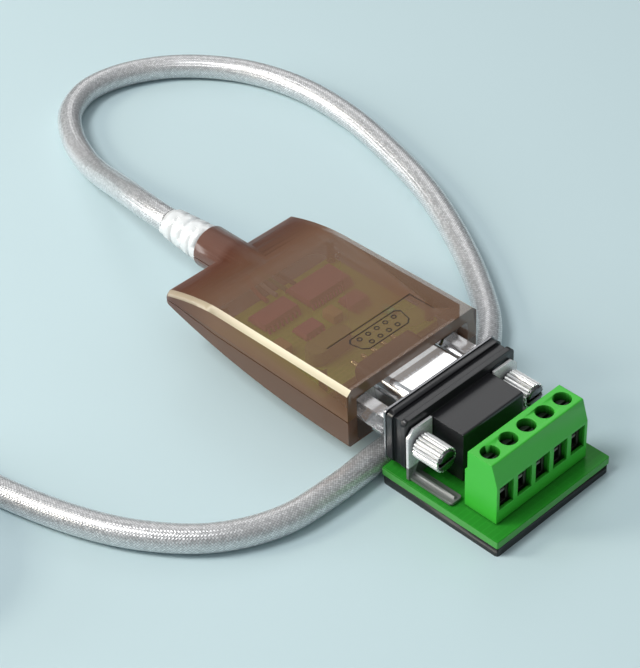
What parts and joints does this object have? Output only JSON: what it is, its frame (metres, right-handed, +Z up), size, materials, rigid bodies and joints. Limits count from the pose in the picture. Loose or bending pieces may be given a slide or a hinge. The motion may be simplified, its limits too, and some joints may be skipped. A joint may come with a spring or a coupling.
{
  "type": "usb to serial converter",
  "caption": "Clear brown leaf-shaped USB to serial hood on a braided lead, mated by thumbscrews to a small board that turns the connector into a green screw terminal",
  "frame": {"origin": "on the surface that the part rests on, below the middle of the rigid pieces' box; the free cord, its coil and its plug are left out of that box", "axes": "+Y runs from the screw terminal to the cable's exit, +X to the right seen from the terminal, +Z up"},
  "size_m": [0.2286, 0.179, 0.0201],
  "materials": {
    "hood_plastic": "clear brown polycarbonate, glossy",
    "clear_pvc": "clear flexible PVC",
    "inner_board": "olive solder mask over glass fibre",
    "chip_epoxy": "matte moulded epoxy",
    "crystal_can": "drawn steel can",
    "tantalum": "moulded ochre case",
    "lamp_lens": "clear green lens",
    "core_red": "insulated core",
    "core_white": "insulated core",
    "core_green": "insulated core",
    "core_black": "insulated core",
    "tinned_steel": "pressed and tinned steel",
    "insert_plastic": "glass-filled nylon",
    "gilt_pin": "gold flash over brass",
    "plated_steel": "nickel-plated steel",
    "socket_plastic": "satin black glass-filled nylon",
    "adapter_green": "green solder mask over glass fibre",
    "pad_rubber": "satin black plastic",
    "terminal_green": "satin moulded polyamide",
    "clamp_steel": "zinc-plated steel",
    "clamp_brass": "nickelled brass",
    "tinned_brass": "tinned brass",
    "jacket": "clear PVC jacket over a silver braid",
    "tie_strap": "soft black strap",
    "plug_moulding": "light grey moulding, satin",
    "usb_steel": "bright tinned steel",
    "tongue_white": "white plastic"
  },
  "bodies": {
    "root": {"hood_upper": "hood_plastic", "hood_lower": "hood_plastic", "strain_relief": "clear_pvc", "plug_shell": "tinned_steel", "plug_insert": "insert_plastic", "jack_post_left": "plated_steel", "jack_post_right": "plated_steel", "converter_board": "inner_board", "bridge_chip": "chip_epoxy", "line_driver_chip": "chip_epoxy", "regulator_chip": "chip_epoxy", "memory_chip": "chip_epoxy", "crystal": "crystal_can", "capacitor_1": "tantalum", "capacitor_2": "tantalum", "lamp": "lamp_lens", "socket_shell": "tinned_steel", "socket_body": "socket_plastic", "bracket_left": "plated_steel", "bracket_right": "plated_steel", "adapter_board": "adapter_green", "base_pad": "pad_rubber", "terminal_housing": "terminal_green", "cord_tube": "jacket", "cord_coil": "jacket", "coil_tie": "tie_strap", "usb_plug_body": "plug_moulding", "usb_shell": "usb_steel", "usb_tongue": "tongue_white", "plug_pin_1": "gilt_pin", "plug_pin_2": "gilt_pin", "plug_pin_3": "gilt_pin", "plug_pin_4": "gilt_pin", "plug_pin_5": "gilt_pin", "plug_pin_6": "gilt_pin", "plug_pin_7": "gilt_pin", "plug_pin_8": "gilt_pin", "plug_pin_9": "gilt_pin", "wire_red": "core_red", "wire_white": "core_white", "wire_green": "core_green", "wire_black": "core_black", "terminal_pin_1": "tinned_brass", "terminal_pin_2": "tinned_brass", "terminal_pin_3": "tinned_brass", "terminal_pin_4": "tinned_brass", "terminal_pin_5": "tinned_brass"},
    "thumb_screw_left": {"thumb_screw_left": "plated_steel"},
    "thumb_screw_right": {"thumb_screw_right": "plated_steel"},
    "clamp_screw_1": {"clamp_screw_1": "clamp_steel"},
    "clamp_cage_1": {"clamp_cage_1": "clamp_brass"},
    "clamp_screw_2": {"clamp_screw_2": "clamp_steel"},
    "clamp_cage_2": {"clamp_cage_2": "clamp_brass"},
    "clamp_screw_3": {"clamp_screw_3": "clamp_steel"},
    "clamp_cage_3": {"clamp_cage_3": "clamp_brass"},
    "clamp_screw_4": {"clamp_screw_4": "clamp_steel"},
    "clamp_cage_4": {"clamp_cage_4": "clamp_brass"},
    "clamp_screw_5": {"clamp_screw_5": "clamp_steel"},
    "clamp_cage_5": {"clamp_cage_5": "clamp_brass"}
  },
  "joints": [
    {"name": "turn_thumb_screw_left", "type": "hinge", "parent": "root", "child": "thumb_screw_left", "pos_m": [-0.0125, -0.0311, 0.012], "axis": [0, 1, 0], "range_deg": [-1800, 0]},
    {"name": "turn_thumb_screw_right", "type": "hinge", "parent": "root", "child": "thumb_screw_right", "pos_m": [0.0125, -0.0311, 0.012], "axis": [0, 1, 0], "range_deg": [-1800, 0]},
    {"name": "turn_clamp_screw_1", "type": "hinge", "parent": "root", "child": "clamp_screw_1", "pos_m": [-0.01016, -0.0466, 0.0166], "axis": [0, 0, 1], "range_deg": [-1560, 0]},
    {"name": "lift_clamp_cage_1", "type": "slide", "parent": "root", "child": "clamp_cage_1", "axis": [0, 0, 1], "range_m": [0, 0.0019]},
    {"name": "turn_clamp_screw_2", "type": "hinge", "parent": "root", "child": "clamp_screw_2", "pos_m": [-0.00508, -0.0466, 0.0166], "axis": [0, 0, 1], "range_deg": [-1560, 0]},
    {"name": "lift_clamp_cage_2", "type": "slide", "parent": "root", "child": "clamp_cage_2", "axis": [0, 0, 1], "range_m": [0, 0.0019]},
    {"name": "turn_clamp_screw_3", "type": "hinge", "parent": "root", "child": "clamp_screw_3", "pos_m": [0, -0.0466, 0.0166], "axis": [0, 0, 1], "range_deg": [-1560, 0]},
    {"name": "lift_clamp_cage_3", "type": "slide", "parent": "root", "child": "clamp_cage_3", "axis": [0, 0, 1], "range_m": [0, 0.0019]},
    {"name": "turn_clamp_screw_4", "type": "hinge", "parent": "root", "child": "clamp_screw_4", "pos_m": [0.00508, -0.0466, 0.0166], "axis": [0, 0, 1], "range_deg": [-1560, 0]},
    {"name": "lift_clamp_cage_4", "type": "slide", "parent": "root", "child": "clamp_cage_4", "axis": [0, 0, 1], "range_m": [0, 0.0019]},
    {"name": "turn_clamp_screw_5", "type": "hinge", "parent": "root", "child": "clamp_screw_5", "pos_m": [0.01016, -0.0466, 0.0166], "axis": [0, 0, 1], "range_deg": [-1560, 0]},
    {"name": "lift_clamp_cage_5", "type": "slide", "parent": "root", "child": "clamp_cage_5", "axis": [0, 0, 1], "range_m": [0, 0.0019]}
  ],
  "couplings": [
    {"joint": "turn_clamp_screw_1", "follows": "lift_clamp_cage_1", "rad_per_m": -13963},
    {"joint": "turn_clamp_screw_2", "follows": "lift_clamp_cage_2", "rad_per_m": -13963},
    {"joint": "turn_clamp_screw_3", "follows": "lift_clamp_cage_3", "rad_per_m": -13963},
    {"joint": "turn_clamp_screw_4", "follows": "lift_clamp_cage_4", "rad_per_m": -13963},
    {"joint": "turn_clamp_screw_5", "follows": "lift_clamp_cage_5", "rad_per_m": -13963}
  ]
}
